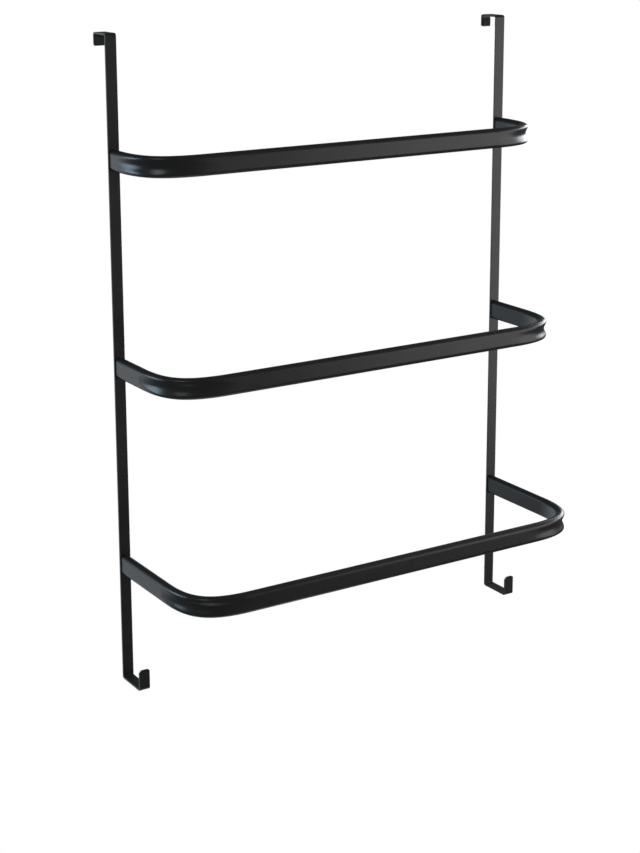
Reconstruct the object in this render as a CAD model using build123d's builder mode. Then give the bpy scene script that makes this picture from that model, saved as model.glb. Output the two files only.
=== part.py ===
from build123d import *
import os
from math import pi, radians, sin, tan

# Over-door towel bar: two bent flat steel bars hook over the top of a door and carry three
# U-shaped rails of flat-oval steel tube, each rail deeper than the one above it.
# Millimetres. X runs across the door, -Y points out into the room and +Z is up.
# The origin is halfway between the strips, where their back plane (y = 0) meets the
# underside of the hooks' top webs (z = 0), which rests on the door's top edge.

# Overall form
width = 500.0
height = 688.0

# Flat bar of the two strips
strip_width = 12.0
strip_thickness = 2.0
strip_bend_radius = 1.0

# Hook over the door's top edge
door_thickness = 20.0
hook_leg = 12.0
hook_corner_radius = 1.0

# Small hook at the foot of each strip, as deep as its tab's outer face stands off the strip
foot_hook_depth = 39.0
foot_hook_height = 23.0
foot_corner_radius = 2.0

# Flat-oval tube of the rails
tube_height = 22.0
tube_thickness = 10.0
tube_wall = 1.2

# How far each rail sits below the door's top edge, and how far its front stands off the strips
rail_drop = {"top": 125.0, "middle": 341.0, "bottom": 557.0}
rail_reach = {"top": 82.0, "middle": 123.0, "bottom": 164.0}
rail_bend_radius = 47.5

# Bending has pulled the tube's outer wall in between two rims, and dimpled its inner wall
dish_depth = 2.4
dish_rim_height = 16.0
dimple_depth = 0.5
dish_onset = 1.5
bend_stations = 10
bend_bore_chamfer = 2.0

# Tapped plug in each end of a rail
plug_length = 14.0
plug_clearance = 0.1
plug_lead_in = 0.8

# Countersunk screw that enters the plug from behind the strip
screw_diameter = 4.0
screw_length = 12.0
screw_tip_chamfer = 0.6
screw_head_diameter = 7.5
screw_head_land = 0.2
screw_head_angle = 90.0
screw_head_sink = 0.1
screw_hole_diameter = 4.3
screw_clearance = 0.05
socket_across_flats = 2.5
socket_depth = 1.3
tapped_mouth = 0.4

# Foam pads that face the door inside each top hook
pad_thickness = 2.0
pad_margin = 1.2
pad_corner_radius = 1.0

# Rubber bumper behind the foot of each strip, as thick as the pads so that the strips hang plumb
bumper_diameter = 10.0
bumper_rise = 22.0
bumper_chamfer = 0.6

# Sizes that follow from the ones above
strip_centre = (width - strip_width) / 2
strip_middle = strip_thickness / 2
hook_gap = door_thickness + 2 * pad_thickness
foot_level = strip_thickness - height
foot_tab_top = foot_level + foot_hook_height
foot_tab_centre = -strip_middle - foot_hook_depth
tube_flat = tube_height - tube_thickness
screw_cone = tan(radians(screw_head_angle / 2))
sink_radius = screw_head_diameter / 2 + screw_clearance + (screw_head_sink + screw_head_land) * screw_cone
pad_height = hook_leg - strip_bend_radius - 2 * pad_margin
pad_level = -(hook_leg + strip_bend_radius) / 2
sides = {"left": -strip_centre, "right": strip_centre}


def door_plane(centre, depth, level):
    """Plane that faces the door, with its X across the door."""
    return Plane((centre, depth, level), x_dir=(1, 0, 0), z_dir=(0, 1, 0))


def hook_strip(centre):
    """Flat bar bent over the door's top edge, and up into a small hook at its foot."""
    with BuildPart() as strip:
        with BuildSketch(Plane.YZ.offset(centre - strip_width / 2)):
            with BuildLine():
                FilletPolyline(
                    (hook_gap + strip_middle, -hook_leg),
                    (hook_gap + strip_middle, strip_middle),
                    (-strip_middle, strip_middle),
                    (-strip_middle, foot_level + strip_middle),
                    (foot_tab_centre, foot_level + strip_middle),
                    (foot_tab_centre, foot_tab_top),
                    radius=strip_bend_radius + strip_middle,
                )
            trace(line_width=strip_thickness)
        extrude(amount=strip_width)
        for end, radius in ((-hook_leg, hook_corner_radius), (foot_tab_top, foot_corner_radius)):
            corners = strip.edges().filter_by(Axis.Y)
            fillet(corners.filter_by_position(Axis.Z, end - strip_middle, end + strip_middle), radius)
        for drop in rail_drop.values():
            with Locations(door_plane(centre, 0, -drop)):
                CounterSinkHole(
                    screw_hole_diameter / 2,
                    sink_radius,
                    depth=2 * strip_thickness,
                    counter_sink_angle=screw_head_angle,
                )
    return strip


def tube_section(plane, collapse):
    """Outline of the tube on a plane whose X is up and whose Y is outward.

    collapse runs from 0 for the plain flat oval to 1 where the bend has dished it most.
    """
    flat = tube_flat / 2
    wall = tube_thickness / 2
    rim = flat + collapse * (dish_rim_height / 2 - flat)
    crown = flat + wall
    # A Bezier curve of five points passes 3/8 of the way to the one in its middle
    dish = wall - collapse * dish_depth * 8 / 3
    dimple = -wall + collapse * dimple_depth * 8 / 3
    with BuildSketch(plane) as section:
        with BuildLine():
            Bezier((-rim, wall), (-rim / 2, wall), (0, dish), (rim / 2, wall), (rim, wall))
            EllipticalCenterArc((rim, 0), crown - rim, wall, 0, arc_size=90)
            EllipticalCenterArc((flat, 0), wall, wall, -90, arc_size=90)
            Bezier((flat, -wall), (flat / 2, -wall), (0, dimple), (-flat / 2, -wall), (-flat, -wall))
            EllipticalCenterArc((-flat, 0), wall, wall, 180, arc_size=90)
            EllipticalCenterArc((-rim, 0), crown - rim, wall, 90, arc_size=90)
        make_face()
    return section.sketch


def rail(drop, reach):
    """Flat-oval tube bent into a U, whose open ends butt on the fronts of the strips.

    The bore narrows to a flat channel in each bend, where the outer wall has been pulled in.
    """
    front = -strip_thickness - reach + tube_thickness / 2
    with BuildPart() as tube:
        with BuildLine() as route:
            FilletPolyline(
                (-strip_centre, -strip_thickness, -drop),
                (-strip_centre, front, -drop),
                (strip_centre, front, -drop),
                (strip_centre, -strip_thickness, -drop),
                radius=rail_bend_radius,
            )
        bends = route.edges().filter_by(GeomType.CIRCLE)
        straights = route.edges().filter_by(GeomType.LINE)
        for run in straights:
            with BuildSketch(Plane(run @ 0, x_dir=(0, 0, 1), z_dir=run % 0)):
                add(tube_section(Plane.XY, 0))
            extrude(amount=run.length)
        for run in bends:
            sections = []
            for station in range(bend_stations + 1):
                along = station / bend_stations
                plane = Plane(run @ along, x_dir=(0, 0, 1), z_dir=run % along)
                sections.append(tube_section(plane, sin(pi * along) ** dish_onset))
            loft(sections)
        for run in straights:
            with BuildSketch(Plane(run @ 0, x_dir=(0, 0, 1), z_dir=run % 0)):
                SlotOverall(tube_height - 2 * tube_wall, tube_thickness - 2 * tube_wall)
            extrude(amount=run.length, mode=Mode.SUBTRACT)
        for run in bends:
            with BuildSketch(Plane(run @ 0, x_dir=(0, 0, 1), z_dir=run % 0)) as channel:
                with Locations((0, -dish_depth / 2)):
                    Rectangle(tube_height - 2 * tube_wall, tube_thickness - 2 * tube_wall - dish_depth)
                chamfer(channel.vertices(), bend_bore_chamfer)
            sweep(path=run, mode=Mode.SUBTRACT)
    return tube


def end_plug(centre, drop):
    """Steel plug in the mouth of a rail, with a tapped hole that takes the screw."""
    inset = tube_wall + plug_clearance
    with BuildPart() as plug:
        with BuildSketch(door_plane(centre, -strip_thickness, -drop)):
            SlotOverall(tube_height - 2 * inset, tube_thickness - 2 * inset, rotation=90)
        extrude(amount=-plug_length)
        chamfer(plug.faces().sort_by(Axis.Y)[0].edges(), plug_lead_in)
        with Locations(door_plane(centre, -strip_thickness, -drop)):
            bore = screw_diameter / 2 + screw_clearance
            CounterSinkHole(bore, bore + tapped_mouth, counter_sink_angle=screw_head_angle)
    return plug


def rail_screws(drop):
    """The two countersunk socket screws that hold one rail, flush with the backs of the strips."""
    head = screw_head_diameter / 2
    shank = screw_diameter / 2
    neck = screw_head_land + (head - shank) / screw_cone
    with BuildPart() as screws:
        for centre in sides.values():
            with BuildSketch(Plane((centre, -screw_head_sink, -drop))):
                with BuildLine():
                    Polyline(
                        (0, 0),
                        (head, 0),
                        (head, -screw_head_land),
                        (shank, -neck),
                        (shank, -screw_length + screw_tip_chamfer),
                        (shank - screw_tip_chamfer, -screw_length),
                        (0, -screw_length),
                        close=True,
                    )
                make_face()
            revolve(axis=Axis((centre, 0, -drop), (0, 1, 0)))
            with BuildSketch(door_plane(centre, -screw_head_sink, -drop)):
                RegularPolygon(socket_across_flats / 2, 6, major_radius=False)
            extrude(amount=-socket_depth, mode=Mode.SUBTRACT)
    return screws


def foam_pad(centre, depth):
    """Foam pad inside a top hook, pad_thickness deep from its face nearest the room."""
    with BuildPart() as pad:
        with BuildSketch(door_plane(centre, depth, pad_level)):
            RectangleRounded(strip_width - 2 * pad_margin, pad_height, pad_corner_radius)
        extrude(amount=pad_thickness)
    return pad


def bumper(centre):
    """Round rubber bumper that holds the foot of a strip off the door."""
    with BuildPart() as button:
        with BuildSketch(door_plane(centre, 0, foot_level + bumper_rise)):
            Circle(bumper_diameter / 2)
        extrude(amount=pad_thickness)
        chamfer(button.faces().sort_by(Axis.Y)[-1].edges(), bumper_chamfer)
    return button


def save(piece, label):
    """Label a finished piece and write it under its own name."""
    piece.part.label = label
    export_step(piece.part, f"parts/{label}.step")


os.makedirs("parts", exist_ok=True)

for side, centre in sides.items():
    save(hook_strip(centre), f"{side}_strip")
    save(foam_pad(centre, 0), f"{side}_front_pad")
    save(foam_pad(centre, hook_gap - pad_thickness), f"{side}_back_pad")
    save(bumper(centre), f"{side}_bumper")

for place, drop in rail_drop.items():
    save(rail(drop, rail_reach[place]), f"{place}_rail")
    save(rail_screws(drop), f"{place}_rail_screws")
    for side, centre in sides.items():
        save(end_plug(centre, drop), f"{place}_{side}_plug")
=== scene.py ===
import bmesh
import bpy
from math import cos, pi, radians, sin
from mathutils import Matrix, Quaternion, Vector


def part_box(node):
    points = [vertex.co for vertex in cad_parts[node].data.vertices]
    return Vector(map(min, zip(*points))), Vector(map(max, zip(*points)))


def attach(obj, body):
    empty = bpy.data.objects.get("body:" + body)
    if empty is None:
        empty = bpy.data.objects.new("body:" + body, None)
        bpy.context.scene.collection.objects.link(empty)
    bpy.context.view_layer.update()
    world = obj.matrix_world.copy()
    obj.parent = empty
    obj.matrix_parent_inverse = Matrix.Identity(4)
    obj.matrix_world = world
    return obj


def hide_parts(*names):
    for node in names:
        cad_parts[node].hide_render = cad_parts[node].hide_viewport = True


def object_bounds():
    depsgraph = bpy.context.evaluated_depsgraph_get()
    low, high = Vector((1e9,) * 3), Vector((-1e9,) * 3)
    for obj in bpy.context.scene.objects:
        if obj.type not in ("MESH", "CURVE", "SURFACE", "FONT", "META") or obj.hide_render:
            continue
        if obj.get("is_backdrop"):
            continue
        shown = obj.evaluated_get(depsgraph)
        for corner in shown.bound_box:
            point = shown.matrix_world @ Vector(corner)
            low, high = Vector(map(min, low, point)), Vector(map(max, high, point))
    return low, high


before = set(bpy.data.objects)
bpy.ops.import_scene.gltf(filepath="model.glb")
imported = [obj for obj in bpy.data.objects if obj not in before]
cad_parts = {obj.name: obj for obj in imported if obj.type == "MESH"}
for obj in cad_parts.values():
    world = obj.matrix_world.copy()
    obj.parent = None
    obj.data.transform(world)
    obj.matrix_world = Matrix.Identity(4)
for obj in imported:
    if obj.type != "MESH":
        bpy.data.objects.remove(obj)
cad_low, cad_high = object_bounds()


# The rack is seen from its left and a little above the top rail, through a long lens
# about two metres away. The lens is shifted as far as the other views allow, which
# keeps the two strips nearly upright, as they are in the photograph.
picture_height = 853
lens_in_pixels = 1763.0
sensor = 36.0
camera_place = Vector((-1.01044, -1.60225, 0.13277))
camera_yaw = radians(32.294)
camera_pitch = radians(-12.817)
camera_roll = radians(-0.126)
camera_shift = -0.15
sight = Vector((
    sin(camera_yaw) * cos(camera_pitch),
    cos(camera_yaw) * cos(camera_pitch),
    sin(camera_pitch),
))
camera_data = bpy.data.cameras.new("camera")
camera_data.sensor_width = sensor
camera_data.lens = lens_in_pixels * sensor / picture_height
camera_data.shift_y = camera_shift
camera = bpy.data.objects.new("camera", camera_data)
camera.location = camera_place
camera.rotation_mode = "QUATERNION"
camera.rotation_quaternion = sight.to_track_quat("-Z", "Y") @ Quaternion((0, 0, 1), camera_roll)
bpy.context.scene.collection.objects.link(camera)
bpy.context.scene.camera = camera


# The studio has a small white paper floor well below the rack, and mirrors see a cool white
# wall behind it. The rest is dim, so satin black steel shows soft bands of four boxes of
# light: one in front and one beside it on the right, one high in front and one behind on the left.
class Value:
    """One socket of a node tree. Sums written on it add the Math nodes that they stand for."""

    def __init__(self, tree, socket=None):
        self.tree = tree
        self.socket = socket

    def node(self, kind, settings=None, sockets=None, output=0):
        """Add one node: first its settings, then the values or links of its sockets."""
        made = self.tree.nodes.new(kind)
        for name, setting in (settings or {}).items():
            setattr(made, name, setting)
        for name, given in (sockets or {}).items():
            if isinstance(given, Value):
                self.tree.links.new(given.socket, made.inputs[name])
            else:
                made.inputs[name].default_value = given
        return Value(self.tree, made.outputs[output] if made.outputs else None)

    def of(self, output):
        """Another output of the same node."""
        return Value(self.tree, self.socket.node.outputs[output])

    def math(self, operation, *terms):
        return self.node("ShaderNodeMath", {"operation": operation}, dict(enumerate(terms)))

    def vector(self, operation, sockets):
        return self.node("ShaderNodeVectorMath", {"operation": operation}, sockets)

    def or_more(self, least):
        """This value, or the least that it may be."""
        return self.math("MAXIMUM", self, least)

    def blend(self, none, full):
        """A colour that goes from none at 0 to full at 1."""
        return self.node("ShaderNodeMix", {"data_type": "RGBA"},
                         {0: self, 6: (*none, 1), 7: (*full, 1)}, output=2)

    def ramp(self, low, high):
        """0 below low, 1 above high, and a smooth rise between them."""
        return self.node("ShaderNodeMapRange", {"interpolation_type": "SMOOTHSTEP"},
                         {"Value": self, "From Min": low, "From Max": high})

    def __add__(self, other):
        return self.math("ADD", self, other)

    def __sub__(self, other):
        return self.math("SUBTRACT", self, other)

    def __rsub__(self, other):
        return self.math("SUBTRACT", other, self)

    def __mul__(self, other):
        return self.math("MULTIPLY", self, other)

    def __truediv__(self, other):
        return self.math("DIVIDE", self, other)

    def __pow__(self, other):
        return self.math("POWER", self, other)

    def __abs__(self):
        return self.math("ABSOLUTE", self)

    __radd__ = __add__
    __rmul__ = __mul__


wall_level = 0.6
dim_level = 0.08
wall_tint = (0.88, 0.95, 1.0)
white = (1, 1, 1)

world = bpy.data.worlds.new("studio")
world.use_nodes = True
world.node_tree.nodes.clear()
bpy.context.scene.world = world
rays = Value(world.node_tree).node("ShaderNodeLightPath")
heading = rays.node("ShaderNodeTexCoord")
heading = heading.node("ShaderNodeSeparateXYZ", None, {0: heading.of("Generated")})
wall = heading.of("Y").ramp(0.68, 0.88) * (1 - heading.of("Z").ramp(-0.1, 0.12))
wall = dim_level + (1 - dim_level) * wall
mirrored = rays.of("Is Glossy Ray").or_more(rays.of("Is Transmission Ray"))
seen = rays.of("Is Camera Ray")
level = seen + (1 - seen) * (mirrored * wall + (1 - mirrored) * wall_level)
sky = rays.node("ShaderNodeBackground", None,
                {"Color": mirrored.blend(white, wall_tint), "Strength": level})
sky.node("ShaderNodeOutputWorld", None, {"Surface": sky})

floor_level = -2.0
floor_half = 0.8
paper_shade = 0.86
paper_glow = 1.05
glow_share = 0.9
paper = bpy.data.materials.new("white paper")
paper.use_nodes = True
paper.node_tree.nodes.clear()
rays = Value(paper.node_tree).node("ShaderNodeLightPath")
matte = rays.node("ShaderNodeBsdfDiffuse", None, {"Color": (paper_shade, paper_shade, paper_shade, 1)})
glow = rays.node("ShaderNodeEmission", None, {"Color": (*white, 1), "Strength": paper_glow})
mirrored = rays.of("Is Glossy Ray").or_more(rays.of("Is Transmission Ray"))
shown = rays.of("Is Camera Ray").or_more(mirrored)
paper_shader = rays.node("ShaderNodeMixShader", None, {0: glow_share * shown, 1: matte, 2: glow})
paper_shader.node("ShaderNodeOutputMaterial", None, {"Surface": paper_shader})
floor_corners = [
    (-floor_half, -floor_half, floor_level),
    (floor_half, -floor_half, floor_level),
    (floor_half, floor_half, floor_level),
    (-floor_half, floor_half, floor_level),
]
floor_mesh = bpy.data.meshes.new("floor")
floor_mesh.from_pydata(floor_corners, [], [(0, 1, 2, 3)])
floor_mesh.materials.append(paper)
floor = bpy.data.objects.new("floor", floor_mesh)
bpy.context.scene.collection.objects.link(floor)
floor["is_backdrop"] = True


def soft_box(name, place, aim, wide, tall, power, tint):
    """A rectangular soft light that faces the point it is aimed at."""
    data = bpy.data.lights.new(name, "AREA")
    data.shape = "RECTANGLE"
    data.size = wide
    data.size_y = tall
    data.energy = power
    data.color = tint
    lamp = bpy.data.objects.new(name, data)
    lamp.location = place
    lamp.rotation_mode = "QUATERNION"
    lamp.rotation_quaternion = (Vector(aim) - Vector(place)).to_track_quat("-Z", "Y")
    bpy.context.scene.collection.objects.link(lamp)


middle = (cad_low + cad_high) / 2
soft_box("front right soft box", (1.7, -1.5, -0.36), middle, 1.35, 1.6, 12.5, (1.0, 0.99, 0.98))
soft_box("front left soft box", (-1.45, -0.92, 1.02), middle, 0.8, 0.8, 6, (0.95, 0.98, 1.0))
soft_box("right soft box", (2.1, 0.25, 0.15), middle, 2.0, 0.9, 42, (0.93, 0.97, 1.0))
soft_box("back left soft box", (-1.75, 1.0, -0.1), middle, 0.9, 0.9, 15, (0.62, 0.84, 1.0))


# The two hanging strips are 12 x 2 mm mild steel flat bar. Each is cold bent into a hook for
# the door's top edge and a small hook at its foot, drilled and countersunk from behind for
# the rails' screws, deburred, and powder coated black.
def new_finish(name):
    """A material with an empty tree, the point of the piece that it colours, and its shader."""
    material = bpy.data.materials.new(name)
    material.use_nodes = True
    material.node_tree.nodes.clear()
    place = Value(material.node_tree).node("ShaderNodeTexCoord").of("Object")
    shader = place.node("ShaderNodeBsdfPrincipled")
    shader.node("ShaderNodeOutputMaterial", None, {"Surface": shader})
    return material, place, shader.socket.node


def feed(shader, name, value):
    """Link a value that varies to one of a shader's sockets."""
    value.tree.links.new(value.socket, shader.inputs[name])


def noise(place, scale, detail, roughness=0.5):
    """Cloudy variation over the piece, finer as its scale and detail rise."""
    return place.node("ShaderNodeTexNoise", None,
                      {"Vector": place, "Scale": scale, "Detail": detail, "Roughness": roughness})


def relief(height, strength, distance, under=None):
    """Fine relief of this height on the surface, over what lies under it."""
    sockets = {"Strength": strength, "Distance": distance, "Height": height}
    if under:
        sockets["Normal"] = under
    return height.node("ShaderNodeBump", None, sockets)


def powder_coat():
    """Black polyester powder: a fine sandy skin over a soft orange peel, a little uneven in gloss."""
    material, place, shader = new_finish("black powder coat")
    grain = noise(place, 2600.0, 3.0, 0.6)
    peel = noise(place, 620.0, 2.0)
    cloud = noise(place, 34.0, 4.0, 0.55)
    feed(shader, "Base Color", cloud.blend((0.008, 0.008, 0.0085), (0.014, 0.014, 0.0145)))
    feed(shader, "Roughness", 0.25 + 0.08 * cloud + 0.05 * grain)
    feed(shader, "Normal", relief(peel, 0.3, 0.00006, relief(grain, 0.25, 0.00004)))
    return material


def new_tree(name, sizes):
    """A Geometry Nodes tree with a named input for each size. Its first value is the shape put in."""
    tree = bpy.data.node_groups.new(name, "GeometryNodeTree")
    tree.interface.new_socket("Geometry", in_out="INPUT", socket_type="NodeSocketGeometry")
    for size in sizes:
        tree.interface.new_socket(size, in_out="INPUT", socket_type="NodeSocketFloat")
    tree.interface.new_socket("Finish", in_out="INPUT", socket_type="NodeSocketMaterial")
    tree.interface.new_socket("Geometry", in_out="OUTPUT", socket_type="NodeSocketGeometry")
    return Value(tree).node("NodeGroupInput")


def end_tree(shape, given):
    """Close a tree: make its instances real, give them their finish and send them out."""
    real = shape.node("GeometryNodeRealizeInstances", None, {0: shape})
    done = shape.node("GeometryNodeSetMaterial", None,
                      {"Geometry": real, "Material": given.of("Finish")})
    shape.node("NodeGroupOutput", None, {0: done})
    return shape.tree


def row_of(shape, start, step, count, given):
    """Copies of a shape in a row, each turned so that its top faces the door."""
    places = given.node("GeometryNodeMeshLine", None,
                        {"Count": count, "Start Location": start, "Offset": step})
    return given.node("GeometryNodeInstanceOnPoints", None,
                      {"Points": places, "Instance": shape, "Rotation": (-pi / 2, 0, 0)})


def make(name, tree, start, sizes, finish):
    """Run a tree on a curve or mesh, and keep what it makes as a plain mesh."""
    blank = bpy.data.objects.new("blank", start)
    bpy.context.scene.collection.objects.link(blank)
    modifier = blank.modifiers.new("make", "NODES")
    modifier.node_group = tree
    for socket in tree.interface.items_tree:
        if socket.in_out == "INPUT" and socket.name in sizes:
            modifier[socket.identifier] = sizes[socket.name]
        if socket.in_out == "INPUT" and socket.name == "Finish":
            modifier[socket.identifier] = finish
    made = blank.evaluated_get(bpy.context.evaluated_depsgraph_get())
    mesh = bpy.data.meshes.new_from_object(made)
    bpy.data.objects.remove(blank)
    mesh.name = name
    mesh.shade_smooth()
    piece = bpy.data.objects.new(name, mesh)
    bpy.context.scene.collection.objects.link(piece)
    return piece


def route(corners):
    """A bare line through the corners, for a tree to round and follow."""
    curve = bpy.data.curves.new("route", "CURVE")
    curve.dimensions = "3D"
    line = curve.splines.new("POLY")
    line.points.add(len(corners) - 1)
    for point, corner in zip(line.points, corners):
        point.co = (*corner, 1)
    return curve


def soften(piece, radius, sharper_than):
    """Round a piece's sharp edges a little and keep the flats beside them flat."""
    bevel = piece.modifiers.new("softened edges", "BEVEL")
    bevel.width = radius
    bevel.segments = 3
    bevel.limit_method = "ANGLE"
    bevel.angle_limit = radians(sharper_than)
    normals = piece.modifiers.new("flats stay flat", "WEIGHTED_NORMAL")
    normals.mode = "FACE_AREA"
    normals.weight = 50


def install(piece, node):
    """Show a piece in place of its CAD node, on the one body that the rack is."""
    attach(piece, "root")
    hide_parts(node)


bar_thickness = 0.002
bar_bend = 0.002
hook_leg = 0.012
foot_tab = 0.023
leg_corner = 0.001
tab_corner = 0.002
strip_edge = 0.0003
sink_edge = 0.0041
sink_past = 0.0003
hairbreadth = 0.00001
rails = ("top", "middle", "bottom")
rail_level = {}
for place in rails:
    low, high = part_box(f"{place}_rail")
    rail_level[place] = (low.z + high.z) / 2


def bar_tree():
    """A flat bar along a rounded route, countersunk from behind at three levels."""
    given = new_tree("flat bar", ("Width", "Thickness", "Bend", "Sink", "Across", "Top", "Pitch"))
    path = given.node("GeometryNodeFilletCurve", {"mode": "POLY"},
                      {"Curve": given, "Count": 12, "Radius": given.of("Bend")})
    section = given.node("GeometryNodeCurvePrimitiveQuadrilateral", None,
                         {"Width": given.of("Width"), "Height": given.of("Thickness")})
    bar = given.node("GeometryNodeCurveToMesh", None,
                     {"Curve": path, "Profile Curve": section, "Fill Caps": True})
    start = given.node("ShaderNodeCombineXYZ", None, {
        "X": given.of("Across"),
        "Y": given.of("Thickness") * -1,
        "Z": given.of("Top"),
    })
    step = given.node("ShaderNodeCombineXYZ", None, {"Z": given.of("Pitch")})
    drill = given.node("GeometryNodeMeshCone", None,
                       {"Vertices": 48, "Radius Top": given.of("Sink") + sink_past,
                        "Radius Bottom": given.of("Sink") - given.of("Thickness"),
                        "Depth": given.of("Thickness") + sink_past})
    holes = row_of(drill, start, step, len(rails), given)
    drilled = given.node("GeometryNodeMeshBoolean", {"operation": "DIFFERENCE", "solver": "EXACT"},
                         {"Mesh 1": bar, "Mesh 2": holes})
    return end_tree(drilled, given)


def round_corners(piece, level, radius):
    """Round the two corners of a bar's end that lies at this level."""
    shape = bmesh.new()
    shape.from_mesh(piece.data)
    corners = []
    for edge in shape.edges:
        one, other = (corner.co for corner in edge.verts)
        if abs(one.z - level) + abs(other.z - level) + abs(one.x - other.x) < hairbreadth:
            corners.append(edge)
    bmesh.ops.bevel(shape, geom=corners, offset=radius, segments=8, profile=0.5, affect="EDGES")
    shape.to_mesh(piece.data)
    shape.free()


coat = powder_coat()
flat_bar = bar_tree()
for side in ("left", "right"):
    low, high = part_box(f"{side}_strip")
    across = (low.x + high.x) / 2
    half = bar_thickness / 2
    corners = [
        (across, high.y - half, -hook_leg),
        (across, high.y - half, high.z - half),
        (across, -half, high.z - half),
        (across, -half, low.z + half),
        (across, low.y + half, low.z + half),
        (across, low.y + half, low.z + foot_tab),
    ]
    strip = make(f"{side}_hanging_strip", flat_bar, route(corners), {
        "Width": high.x - low.x,
        "Thickness": bar_thickness,
        "Bend": bar_bend,
        "Sink": sink_edge,
        "Across": across,
        "Top": rail_level["top"],
        "Pitch": rail_level["middle"] - rail_level["top"],
    }, coat)
    round_corners(strip, -hook_leg, leg_corner)
    round_corners(strip, low.z + foot_tab, tab_corner)
    soften(strip, strip_edge, 35)
    install(strip, f"{side}_strip")


# The three rails are 22 x 10 mm flat-oval steel tube with a 1.2 mm wall, each bent in one
# piece into a U. The bends have drawn the outer wall in between two rims and dimpled the
# inner wall. The cut ends are dressed and the whole tube is powder coated.
tube_thickness = 0.010
tube_wall = 0.0012
rail_bend = 0.0475
bend_pull = 0.75
bend_setback = rail_bend * (2 ** 0.5 - 1) * 8 / (2 ** 0.5 * (4 - 3 * bend_pull))
dish_depth = 0.0024
dish_rim = 0.016
dish_spread = 0.6
dimple_depth = 0.0005
tube_edge = 0.0002


def bent_route(corners):
    """The line of a bent tube. Each bend starts gently and is tightest in its middle."""
    stops = [(corners[0], None)]
    for before, corner, after in zip(corners, corners[1:], corners[2:]):
        stops.append((corner + bend_setback * (before - corner).normalized(), corner))
        stops.append((corner + bend_setback * (after - corner).normalized(), corner))
    stops.append((corners[-1], None))
    curve = bpy.data.curves.new("bent route", "CURVE")
    curve.dimensions = "3D"
    curve.resolution_u = 40
    line = curve.splines.new("BEZIER")
    line.bezier_points.add(len(stops) - 1)
    for index, (place, corner) in enumerate(stops):
        point = line.bezier_points[index]
        point.co = place
        point.handle_left_type = point.handle_right_type = "FREE"
        for side, step in (("handle_left", -1), ("handle_right", 1)):
            other, its_corner = stops[max(0, min(index + step, len(stops) - 1))]
            bends = corner is not None and corner is its_corner
            handle = place + bend_pull * (corner - place) if bends else place + (other - place) / 3
            setattr(point, side, handle)
    return curve


def keep(shape, kind, name, value):
    """Note a value on each point of a shape, to be read back further on."""
    return shape.node("GeometryNodeStoreNamedAttribute", {"data_type": kind},
                      {"Geometry": shape, "Name": name, "Value": value})


def kept(shape, kind, name):
    """The value that was noted under this name."""
    return shape.node("GeometryNodeInputNamedAttribute", {"data_type": kind}, {"Name": name})


def bulge(rise, flat, crown, half):
    """How far a rounded edge stands off the tube's middle plane, at a height above its middle line."""
    over = (rise - flat).or_more(0) / (crown - flat)
    return half * (1 - over ** 2).or_more(0) ** 0.5


def valley(rise, flat):
    """1 in the middle of a flat, falling smoothly to 0 at its rims."""
    return (1 - (rise / flat) ** 2).or_more(0) ** 2


def tube_tree():
    """Flat-oval tube along a bent route, dished on the outside and dimpled inside each bend."""
    given = new_tree("bent tube", ("Height", "Thickness", "Dish", "Rim", "Dimple"))
    half = given.of("Thickness") / 2
    crown = given.of("Height") / 2
    flat = crown - half
    path = given.node("GeometryNodeResampleCurve", {"mode": "EVALUATED"}, {"Curve": given})
    ahead = given.node("ShaderNodeSeparateXYZ", None, {0: given.node("GeometryNodeInputTangent")})
    outward = given.node("ShaderNodeCombineXYZ", None, {"X": ahead.of("Y"), "Y": 0 - ahead.of("X")})
    path = keep(path, "FLOAT", "bend", abs(2 * ahead.of("X") * ahead.of("Y")))
    path = keep(path, "FLOAT_VECTOR", "outward", outward)
    path = keep(path, "FLOAT_VECTOR", "centre", given.node("GeometryNodeInputPosition"))
    section = given.node("GeometryNodeCurvePrimitiveQuadrilateral", None,
                         {"Width": given.of("Thickness"), "Height": given.of("Height")})
    section = given.node("GeometryNodeFilletCurve", {"mode": "POLY"},
                         {"Curve": section, "Count": 24, "Radius": half, "Limit Radius": True})
    section = given.node("GeometryNodeResampleCurve", None, {"Curve": section, "Count": 120})
    section = keep(section, "FLOAT_VECTOR", "section", given.node("GeometryNodeInputPosition"))
    skin = given.node("GeometryNodeCurveToMesh", None, {"Curve": path, "Profile Curve": section})

    bend = kept(given, "FLOAT", "bend") ** dish_spread
    place = given.node("ShaderNodeSeparateXYZ", None, {0: kept(given, "FLOAT_VECTOR", "section")})
    rise = abs(place.of("Y"))
    rim = flat + bend * (given.of("Rim") / 2 - flat)
    outside = bulge(rise, rim, crown, half) - bend * given.of("Dish") * valley(rise, rim)
    inside = bend * given.of("Dimple") * valley(rise, flat) - bulge(rise, flat, crown, half)
    faces_out = place.math("GREATER_THAN", place.of("X"), 0)
    stand_off = inside + faces_out * (outside - inside)
    sideways = given.vector("SCALE", {0: kept(given, "FLOAT_VECTOR", "outward"), "Scale": stand_off})
    upward = given.node("ShaderNodeCombineXYZ", None, {"Z": place.of("Y")})
    moved = given.vector("ADD", {0: kept(given, "FLOAT_VECTOR", "centre"), 1: sideways})
    moved = given.vector("ADD", {0: moved, 1: upward})
    skin = given.node("GeometryNodeSetPosition", None, {"Geometry": skin, "Position": moved})
    skin = given.node("GeometryNodeFlipFaces", None, {"Mesh": skin})
    return end_tree(skin, given)


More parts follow.
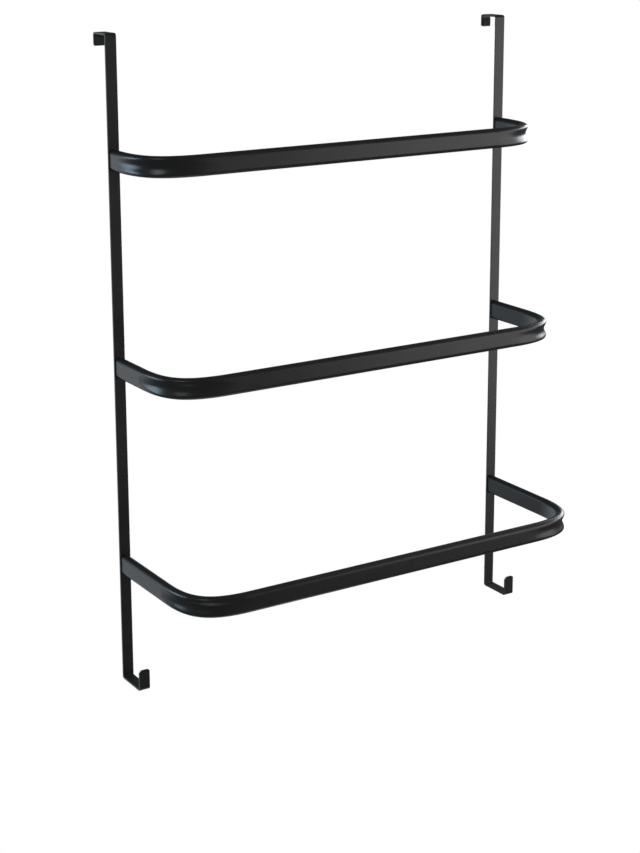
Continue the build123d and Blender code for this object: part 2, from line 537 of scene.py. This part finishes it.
bent_tube = tube_tree()
for place in rails:
    low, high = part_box(f"{place}_rail")
    half = tube_thickness / 2
    level = rail_level[place]
    corners = [
        Vector((low.x + half, high.y, level)),
        Vector((low.x + half, low.y + half, level)),
        Vector((high.x - half, low.y + half, level)),
        Vector((high.x - half, high.y, level)),
    ]
    rail = make(f"{place}_towel_rail", bent_tube, bent_route(corners), {
        "Height": high.z - low.z,
        "Thickness": tube_thickness,
        "Dish": dish_depth,
        "Rim": dish_rim,
        "Dimple": dimple_depth,
    }, coat)
    wall = rail.modifiers.new("tube wall", "SOLIDIFY")
    wall.thickness = tube_wall
    wall.offset = -1
    soften(rail, tube_edge, 50)
    install(rail, f"{place}_rail")


# Each rail is held by two M4 x 12 countersunk socket screws of black oxide steel. They pass
# through the strips from behind, flush with their backs, into a plug in each end of the tube.
def black_oxide():
    """Oiled black oxide on turned steel: a dark thin skin, worn a little in its gloss."""
    material, place, shader = new_finish("black oxide steel")
    shader.inputs["Metallic"].default_value = 0.85
    cloud = noise(place, 420.0, 4.0)
    feed(shader, "Base Color", cloud.blend((0.018, 0.018, 0.020), (0.045, 0.044, 0.045)))
    feed(shader, "Roughness", 0.26 + 0.2 * cloud)
    feed(shader, "Normal", relief(noise(place, 5200.0, 2.0), 0.25, 0.00003))
    return material


hub_radius = 0.001


def turned_tree(name, count, socketed):
    """A profile turned about its own axis, in a row of copies whose flat ends face the door."""
    given = new_tree(name, ("Across", "Behind", "Level", "Apart", "Socket", "Socket Depth"))
    hub = given.node("GeometryNodeCurvePrimitiveCircle", None, {"Resolution": 48, "Radius": hub_radius})
    profile = given.node("GeometryNodeTransform", None,
                         {"Geometry": given, "Translation": (-hub_radius, 0, 0)})
    turned = given.node("GeometryNodeCurveToMesh", None, {"Curve": hub, "Profile Curve": profile})
    turned = given.node("GeometryNodeMergeByDistance", None,
                        {"Geometry": turned, "Distance": hairbreadth / 2})
    if socketed:
        key = given.node("GeometryNodeMeshCylinder", None,
                         {"Vertices": 6, "Radius": given.of("Socket") / (2 * cos(pi / 6)),
                          "Depth": 2 * given.of("Socket Depth")})
        turned = given.node("GeometryNodeMeshBoolean", {"operation": "DIFFERENCE", "solver": "EXACT"},
                            {"Mesh 1": turned, "Mesh 2": key})
    start = given.node("ShaderNodeCombineXYZ", None,
                       {"X": given.of("Across"), "Y": given.of("Behind"), "Z": given.of("Level")})
    step = given.node("ShaderNodeCombineXYZ", None, {"X": given.of("Apart")})
    return end_tree(row_of(turned, start, step, count, given), given)


screw_head = 0.00375
screw_land = 0.0002
screw_shank = 0.002
screw_tip = 0.0006
screw_length = 0.012
screw_edge = 0.00008
key_flats = 0.0025
key_depth = 0.0013
screw_neck = screw_land + screw_head - screw_shank
screw_profile = [
    (0, 0, 0),
    (screw_head, 0, 0),
    (screw_head, screw_land, 0),
    (screw_shank, screw_neck, 0),
    (screw_shank, screw_length - screw_tip, 0),
    (screw_shank - screw_tip, screw_length, 0),
    (0, screw_length, 0),
]
oxide = black_oxide()
screw_pair = turned_tree("countersunk screws", 2, True)
for place in rails:
    low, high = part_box(f"{place}_rail_screws")
    screws = make(f"{place}_rail_socket_screws", screw_pair, route(screw_profile), {
        "Across": low.x + screw_head,
        "Behind": high.y,
        "Level": rail_level[place],
        "Apart": high.x - low.x - 2 * screw_head,
        "Socket": key_flats,
        "Socket Depth": key_depth,
    }, oxide)
    soften(screws, screw_edge, 30)
    install(screws, f"{place}_rail_screws")


# The plugs are zinc-plated steel, a press fit in the rails' ends, and each has a tapped hole
# for its screw. Nothing of them shows once the rack is together, so their CAD solids stay.
def zinc_plate():
    """Bright zinc: bluish steel white with a cloudy bloom and the fine grain of the plating."""
    material, place, shader = new_finish("zinc plated steel")
    shader.inputs["Metallic"].default_value = 1.0
    cloud = noise(place, 300.0, 4.0)
    feed(shader, "Base Color", cloud.blend((0.52, 0.54, 0.57), (0.68, 0.69, 0.70)))
    feed(shader, "Roughness", 0.2 + 0.2 * cloud)
    feed(shader, "Normal", relief(noise(place, 4000.0, 2.0), 0.3, 0.00003))
    return material


zinc = zinc_plate()
for place in rails:
    for side in ("left", "right"):
        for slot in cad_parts[f"{place}_{side}_plug"].material_slots:
            slot.material = zinc


# Four pads of black closed-cell foam, 2 mm thick and die cut with rounded corners, are stuck
# inside the hooks on both legs, where they keep the steel off the door.
def foam():
    """Closed-cell foam cut through its cells: matte, pricked all over with fine pits, with painted
    shade darkening each pit.
    """
    material, place, shader = new_finish("black foam")
    cells = place.node("ShaderNodeTexVoronoi", {"feature": "SMOOTH_F1"},
                       {"Vector": place, "Scale": 3300.0, "Smoothness": 0.35})
    cloud = noise(place, 500.0, 3.0)
    # Painted shade: the colour is darkest at each cell's middle, where the bump sinks its pit, and
    # varies with a cloudy tone.
    feed(shader, "Base Color", (cells * cloud).blend((0.008, 0.008, 0.008), (0.04, 0.04, 0.041)))
    feed(shader, "Roughness", 0.85 + 0.1 * cloud)
    feed(shader, "Normal", relief(cells, 0.6, 0.0001))
    return material


def pad_tree():
    """A rounded rectangle carried along a short straight line, with both ends closed."""
    given = new_tree("die-cut pad", ("Width", "Height", "Corner"))
    outline = given.node("GeometryNodeCurvePrimitiveQuadrilateral", None,
                         {"Width": given.of("Width"), "Height": given.of("Height")})
    outline = given.node("GeometryNodeFilletCurve", {"mode": "POLY"},
                         {"Curve": outline, "Count": 8, "Radius": given.of("Corner")})
    pad = given.node("GeometryNodeCurveToMesh", None,
                     {"Curve": given, "Profile Curve": outline, "Fill Caps": True})
    return end_tree(pad, given)


pad_corner = 0.001
pad_edge = 0.0003
foam_finish = foam()
die_cut = pad_tree()
for side in ("left", "right"):
    for face in ("front", "back"):
        low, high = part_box(f"{side}_{face}_pad")
        across = (low.x + high.x) / 2
        level = (low.z + high.z) / 2
        through = route([(across, low.y, level), (across, high.y, level)])
        pad = make(f"{side}_{face}_foam_pad", die_cut, through, {
            "Width": high.x - low.x,
            "Height": high.z - low.z,
            "Corner": pad_corner,
        }, foam_finish)
        soften(pad, pad_edge, 50)
        install(pad, f"{side}_{face}_pad")


# Behind the foot of each strip a round moulded rubber bumper, 10 mm across and as thick as
# the pads, is stuck on so that the rack hangs plumb and its feet stay off the door.
def rubber():
    """Moulded black rubber: dull satin, with a little bloom and the fine texture of its mould."""
    material, place, shader = new_finish("black rubber")
    bloom = noise(place, 260.0, 4.0)
    feed(shader, "Base Color", bloom.blend((0.014, 0.014, 0.014), (0.032, 0.031, 0.030)))
    feed(shader, "Roughness", 0.52 + 0.16 * bloom)
    feed(shader, "Normal", relief(noise(place, 3600.0, 2.0), 0.4, 0.00005))
    return material


bumper_edge = 0.0006
rubber_finish = rubber()
button = turned_tree("round bumper", 1, False)
for side in ("left", "right"):
    low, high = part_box(f"{side}_bumper")
    radius = (high.x - low.x) / 2
    depth = high.y - low.y
    bumper_profile = [(0, 0, 0), (radius, 0, 0), (radius, depth, 0), (0, depth, 0)]
    bumper = make(f"{side}_foot_bumper", button, route(bumper_profile), {
        "Across": (low.x + high.x) / 2,
        "Behind": high.y,
        "Level": (low.z + high.z) / 2,
    }, rubber_finish)
    soften(bumper, bumper_edge, 50)
    install(bumper, f"{side}_bumper")


bpy.context.scene.view_settings.view_transform = "Standard"
low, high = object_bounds()
